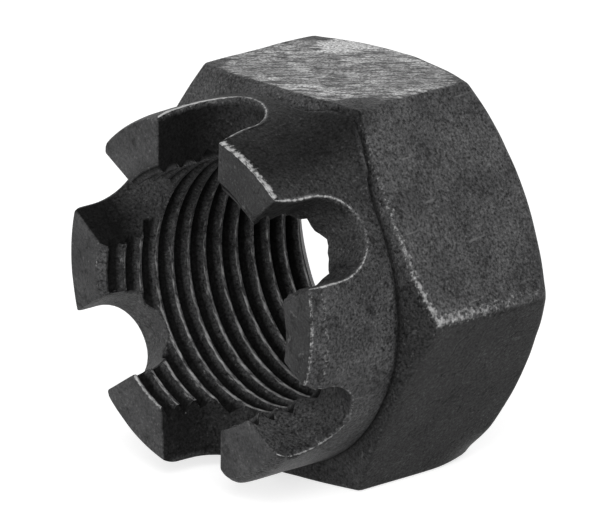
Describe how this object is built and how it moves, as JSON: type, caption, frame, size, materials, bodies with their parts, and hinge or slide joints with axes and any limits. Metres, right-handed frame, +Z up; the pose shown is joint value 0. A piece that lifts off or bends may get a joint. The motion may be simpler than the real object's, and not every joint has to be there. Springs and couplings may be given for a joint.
{
  "type": "castle nut",
  "caption": "Hexagonal castle nut with a slotted, castellated crown for a cotter pin and a threaded through bore.",
  "frame": {"origin": "centre of the bearing face, where the thread axis leaves the nut", "axes": "+Y along the thread axis, out of the bearing face; the castle end looks toward -Y; the nut lies on one flat with +Z up"},
  "size_m": [0.0322, 0.021, 0.028],
  "materials": {
    "black_steel": "black oxide over forged and turned steel, worn bright on edges"
  },
  "bodies": {
    "root": {"castle_nut": "black_steel"}
  },
  "joints": []
}
